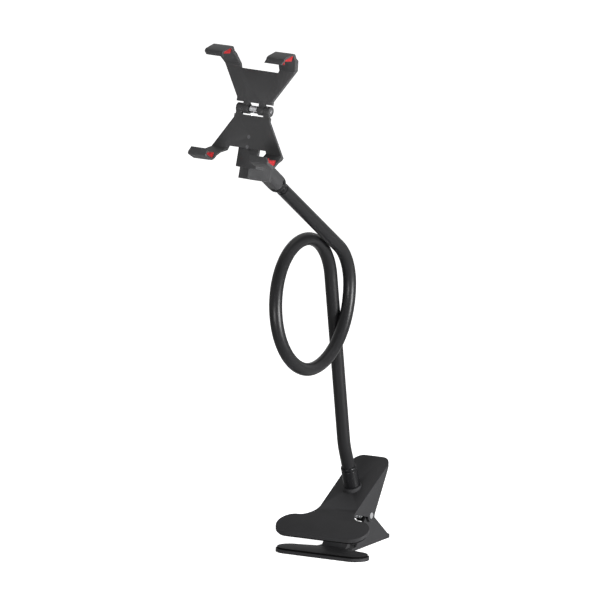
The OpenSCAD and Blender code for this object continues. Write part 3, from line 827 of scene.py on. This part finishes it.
@dataclass
class Gooseneck:
    """The flexible arm: one sleeve in five stretches that meet at four bending points.

    The radius is in metres. The lengths along the path are in millimetres.
    """

    rack: FinishRack
    path: ArmPath
    radius: float = 5.25 * MM
    sleeve_from: float = 6.5
    soft_half: float = 9.0
    past_hinge: float = 14.0
    tip_end: float = 10.7
    foot_pitch: float = 1.2
    loop_pitch: float = 4.0

    def soften(self, piece: bpy.types.Object, hinge: Matrix) -> None:
        """Moves a stretch's place and turn into its mesh.

        Args:
            piece: The stretch of sleeve.
            hinge: Not used.
        """
        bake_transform(piece)

    def draw(self, name: str, start: Matrix) -> SleeveDrawer:
        """Starts a stretch of sleeve.

        Args:
            name: The stretch's name.
            start: Frame of its first ring.

        Returns:
            The drawer, to be led along the path.
        """
        return SleeveDrawer(name, start, self.radius)

    def wear(self, stretch: bpy.types.Object, node: str) -> None:
        """Gives a stretch its finish and hides the node that it stands for.

        Args:
            stretch: The stretch of sleeve.
            node: The CAD node.
        """
        Bench.stand_in(stretch, node, Slot.SLEEVE, self.rack.sleeve)

    def build(self) -> None:
        """Builds the five stretches."""
        path, mid = self.path, self.path.hinge_pitch / 2
        foot = self.draw("sleeve_foot", path.start @ path.run(self.sleeve_from))
        foot.straight(path.foot_run - self.sleeve_from)
        foot.curve(path.foot_bend, self.foot_pitch)
        foot.straight(path.foot_hinge_up + mid)
        stretch = foot.finish()
        self.soften(stretch, path.hinge_1)
        self.wear(stretch, "gooseneck_foot")

        low = self.draw("sleeve_low", path.hinge_1 @ path.run(mid))
        low.straight(mid + self.past_hinge)
        stretch = low.finish()
        self.soften(stretch, path.hinge_2)
        self.wear(stretch, "gooseneck_lower")

        loop = self.draw("sleeve_loop", path.hinge_2 @ path.run(self.past_hinge))
        for step in path.loop_steps(self.past_hinge):
            loop.follow(step, self.loop_pitch)
        stretch = loop.finish()
        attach(stretch, Body.ARM_LOOP.value)
        self.wear(stretch, "gooseneck_loop")

        high = self.draw("sleeve_high", path.hinge_3 @ path.run(-self.past_hinge))
        high.straight(self.past_hinge + mid)
        stretch = high.finish()
        self.soften(stretch, path.hinge_3)
        self.wear(stretch, "gooseneck_upper")

        tip = self.draw("sleeve_tip", path.hinge_3 @ path.run(mid))
        tip.straight(mid + path.head_hinge_back - self.tip_end)
        stretch = tip.finish()
        self.soften(stretch, path.hinge_4)
        self.wear(stretch, "gooseneck_tip")


@dataclass
class BallJoint:
    """The ball joint between the arm and the clip, with its bracket block."""

    rack: FinishRack
    cap_ease: float = 0.25 * MM
    nut_ease: float = 0.3 * MM
    block_ease: float = 0.5 * MM

    def build(self) -> None:
        """Builds the end piece, nut and socket."""
        rack = self.rack
        for node, name, body, ease, finish in (
            ("gooseneck_top_cap", "arm_end_piece", Body.ARM_TIP, self.cap_ease, rack.ferrule),
            ("ball_nut", "joint_nut", Body.NUT, self.nut_ease, rack.ferrule),
            ("ball_socket", "bracket_block", Body.HEAD, self.block_ease, rack.block),
        ):
            piece = Bench.eased_copy(node, name, ease)
            Bench.fit_out(piece, body, node, Slot.HEAD, finish)


@dataclass
class SpringWork:
    """The two wire springs, copied from their CAD nodes.

    Each leg is given by two distances along it from its hinge: where it leaves the coil,
    and from where it lies on the moving part.
    """

    rack: FinishRack
    clip_place: Matrix
    clip_hinge: tuple[float, float, float] = (0.0103792, -0.1734074, 0.3591832)
    jaw_leg: tuple[float, float] = (-5.7 * MM, -8.0 * MM)
    claw_leg: tuple[float, float] = (3.0 * MM, 5.0 * MM)

    def build(self) -> None:
        """Builds both springs."""
        self.wind("clamp_spring", "jaw_spring_wire", (Body.CLAMP, Body.LOWER_JAW),
                  *(Vector((0, 0, reach)) for reach in self.jaw_leg))
        hinge = Vector(self.clip_hinge)
        up = self.clip_place.to_3x3() @ Vector((0, 0, 1))
        self.wind("clip_spring", "claw_spring_wire", (Body.HEAD, Body.UPPER_CLAWS),
                  *(hinge + up * reach for reach in self.claw_leg))

    def wind(self, node: str, name: str, bodies: tuple[Body, Body], start: Vector,
             end: Vector) -> None:
        """Copies a spring's wire.

        Args:
            node: The spring's CAD node.
            name: The new piece's name.
            bodies: Not used.
            start: Not used.
            end: Not used.
        """
        wire = Bench.eased_copy(node, name, 0.0)
        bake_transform(wire)
        Bench.stand_in(wire, node, Slot.STEEL, self.rack.steel)


@dataclass
class PhoneClip:
    """The sprung clip: two halves with two claws each, and their red pads.

    The clip's frame lies ahead of the ball and above it, rolled and leant by angles in
    degrees. The claws' height counts from the phone's edge. It is one value for both
    halves, between those that the photo shows for the upper and the lower claws.
    """

    rack: FinishRack
    path: ArmPath
    half_ease: float = 0.5 * MM
    pad_ease: float = 0.3 * MM
    ahead: float = 60.4 * MM
    rise: float = 72.4 * MM
    roll: float = 1.7
    lean: float = 15.7
    phone_half: float = 39.05 * MM
    claw_height: float = 6.2 * MM

    @property
    def place(self) -> Matrix:
        """Frame of the clip, in the middle of the phone's front face."""
        middle = self.path.ball.translation + Vector((0, -self.ahead, self.rise))
        turn = Matrix.Rotation(math.radians(self.roll), 4, "Y")
        return Matrix.Translation(middle) @ turn @ Matrix.Rotation(
            math.radians(-self.lean), 4, "X")

    def flatten_claws(self, piece: bpy.types.Object, side: int, tall: float) -> None:
        """Lowers the claws' roofs from the solids' height to claw_height.

        Args:
            piece: A half or its pads, as a copy of the CAD node.
            side: 1 for the upper half, -1 for the lower one.
            tall: Height of the solids' claws over the phone's edge, in metres.
        """
        place = self.place
        local = place.inverted()
        Bench.edit(piece)
        Bench.pick(piece, "VERT",
                   lambda point: side * (local @ point.co).z > self.phone_half)
        edge = place @ Vector((0, 0, side * self.phone_half))
        bpy.ops.transform.resize(value=(1, 1, self.claw_height / tall), orient_type="GLOBAL",
                                 orient_matrix=place.to_3x3().transposed(),
                                 center_override=edge)
        bpy.ops.object.mode_set(mode="OBJECT")

    def build(self) -> None:
        """Builds the halves and the pads."""
        local = self.place.inverted()
        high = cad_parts["clip_upper_half"].data.vertices
        tall = max((local @ point.co).z for point in high) - self.phone_half
        LOG.info("claws stand %.1f mm over the phone's edge", tall / MM)
        rack = self.rack
        shells = (self.half_ease, Slot.HEAD, rack.head)
        linings = (self.pad_ease, Slot.RED, rack.red)
        for node, name, body, side, (ease, slot, finish) in (
            ("clip_lower_half", "clip_half_low", Body.HEAD, -1, shells),
            ("clip_upper_half", "clip_half_high", Body.UPPER_CLAWS, 1, shells),
            ("claw_pads_lower", "claw_pads_low", Body.HEAD, -1, linings),
            ("claw_pads_upper", "claw_pads_high", Body.UPPER_CLAWS, 1, linings),
        ):
            piece = Bench.eased_copy(node, name, ease)
            self.flatten_claws(piece, side, tall)
            Bench.fit_out(piece, body, node, slot, finish)


@dataclass(frozen=True)
class Lamp:
    """A soft square lamp: its place and side in metres, its power in watts."""

    name: str
    place: tuple[float, float, float]
    size: float
    power: float

    def build(self, aim: Vector) -> None:
        """Builds the lamp.

        Args:
            aim: The point that it faces.
        """
        data = bpy.data.lights.new(self.name, "AREA")
        data.shape = "SQUARE"
        data.size = self.size
        data.energy = self.power
        lamp = bpy.data.objects.new(self.name, data)
        bpy.context.scene.collection.objects.link(lamp)
        lamp.location = self.place
        lamp.rotation_euler = (aim - Vector(self.place)).to_track_quat("-Z", "Y").to_euler()


@dataclass
class Studio:
    """Floor, background, lamps and camera."""

    floor_z: float = -24.5 * MM
    floor_size: float = 12.0
    floor_tone: float = 0.86
    floor_roughness: float = 0.9
    floor_specular: float = 0.1
    floor_lift: float = 0.9
    room_light: float = 0.22
    background: float = 1.0
    aim: tuple[float, float, float] = (0.0, -84.5 * MM, 189.2 * MM)
    azimuth: float = 30.0
    elevation: float = 12.0
    distance: float = 14.0
    view_width: float = 473.9 * MM
    sensor_width: float = 36.0
    far_clip: float = 50.0
    lamps: tuple[Lamp, ...] = (
        Lamp("key lamp", (1.5, -0.15, 0.12), 0.6, 78.0),
        Lamp("low lamp", (0.2, -1.4, 0.02), 0.5, 22.0),
        Lamp("fill lamp", (-1.3, -1.3, 0.7), 1.2, 2.0),
        Lamp("top lamp", (0.1, 0.3, 1.5), 1.2, 4.0),
    )

    def build(self) -> None:
        """Builds everything round the object."""
        bpy.context.scene.view_settings.view_transform = "Standard"
        self.build_floor()
        self.build_world()
        for lamp in self.lamps:
            lamp.build(Vector(self.aim))
        self.build_camera()

    def build_floor(self) -> None:
        """Builds the pale floor, which shows white to the camera but keeps its shadow."""
        Bench.clear()
        bpy.ops.mesh.primitive_plane_add(size=self.floor_size, location=(0, 0, self.floor_z))
        floor = bpy.context.object
        floor.name = "pale_floor"
        Bench.settle(floor)
        material = bpy.data.materials.new("pale floor")
        material.use_nodes = True
        tree = material.node_tree
        shader = tree.nodes["Principled BSDF"]
        shader.inputs["Base Color"].default_value = (*[self.floor_tone] * 3, 1)
        shader.inputs["Roughness"].default_value = self.floor_roughness
        shader.inputs["Specular IOR Level"].default_value = self.floor_specular
        lift = tree.nodes.new("ShaderNodeEmission")
        ray = tree.nodes.new("ShaderNodeLightPath")
        gain = tree.nodes.new("ShaderNodeMath")
        gain.operation = "MULTIPLY"
        gain.inputs[1].default_value = self.floor_lift
        tree.links.new(ray.outputs["Is Camera Ray"], gain.inputs[0])
        tree.links.new(gain.outputs["Value"], lift.inputs["Strength"])
        both = tree.nodes.new("ShaderNodeAddShader")
        tree.links.new(shader.outputs["BSDF"], both.inputs[0])
        tree.links.new(lift.outputs["Emission"], both.inputs[1])
        surface = tree.nodes["Material Output"].inputs["Surface"]
        tree.links.new(both.outputs["Shader"], surface)
        floor.data.materials.append(material)

    def build_world(self) -> None:
        """Builds the even light of the room and its pale grey background.

        The background shows only past the floor's far edge, and in reflections.
        """
        world = bpy.data.worlds.new("white room")
        bpy.context.scene.world = world
        world.use_nodes = True
        tree = world.node_tree
        light = tree.nodes["Background"]
        light.inputs["Color"].default_value = (1, 1, 1, 1)
        light.inputs["Strength"].default_value = self.room_light
        white = tree.nodes.new("ShaderNodeBackground")
        white.inputs["Strength"].default_value = self.background
        ray = tree.nodes.new("ShaderNodeLightPath")
        seen = tree.nodes.new("ShaderNodeMath")
        seen.operation = "MAXIMUM"
        tree.links.new(ray.outputs["Is Camera Ray"], seen.inputs[0])
        tree.links.new(ray.outputs["Is Glossy Ray"], seen.inputs[1])
        also = tree.nodes.new("ShaderNodeMath")
        also.operation = "MAXIMUM"
        tree.links.new(seen.outputs["Value"], also.inputs[0])
        tree.links.new(ray.outputs["Is Transmission Ray"], also.inputs[1])
        mix = tree.nodes.new("ShaderNodeMixShader")
        tree.links.new(also.outputs["Value"], mix.inputs["Fac"])
        tree.links.new(light.outputs["Background"], mix.inputs[1])
        tree.links.new(white.outputs["Background"], mix.inputs[2])
        tree.links.new(mix.outputs["Shader"], tree.nodes["World Output"].inputs["Surface"])

    def build_camera(self) -> None:
        """Builds the camera at the photograph's viewing angle."""
        data = bpy.data.cameras.new("camera")
        data.sensor_width = self.sensor_width
        data.lens = data.sensor_width * self.distance / self.view_width
        data.clip_end = self.far_clip
        camera = bpy.data.objects.new("camera", data)
        bpy.context.scene.collection.objects.link(camera)
        a, e = math.radians(self.azimuth), math.radians(self.elevation)
        out = Vector((math.cos(e) * math.sin(a), -math.cos(e) * math.cos(a), math.sin(e)))
        camera.location = Vector(self.aim) + out * self.distance
        camera.rotation_euler = (-out).to_track_quat("-Z", "Y").to_euler()
        bpy.context.scene.camera = camera


def main() -> None:
    """Builds the holder's looks and its studio."""
    logging.basicConfig(level=logging.INFO, format="%(message)s")
    rack = FinishRack()
    rack.dress_hidden()
    path = ArmPath()
    DeskClamp(rack).build(path)
    Gooseneck(rack, path).build()
    BallJoint(rack).build()
    clip = PhoneClip(rack, path)
    clip.build()
    SpringWork(rack, clip.place).build()
    Studio().build()
    Bench.clear()


if __name__ == "__main__":
    main()
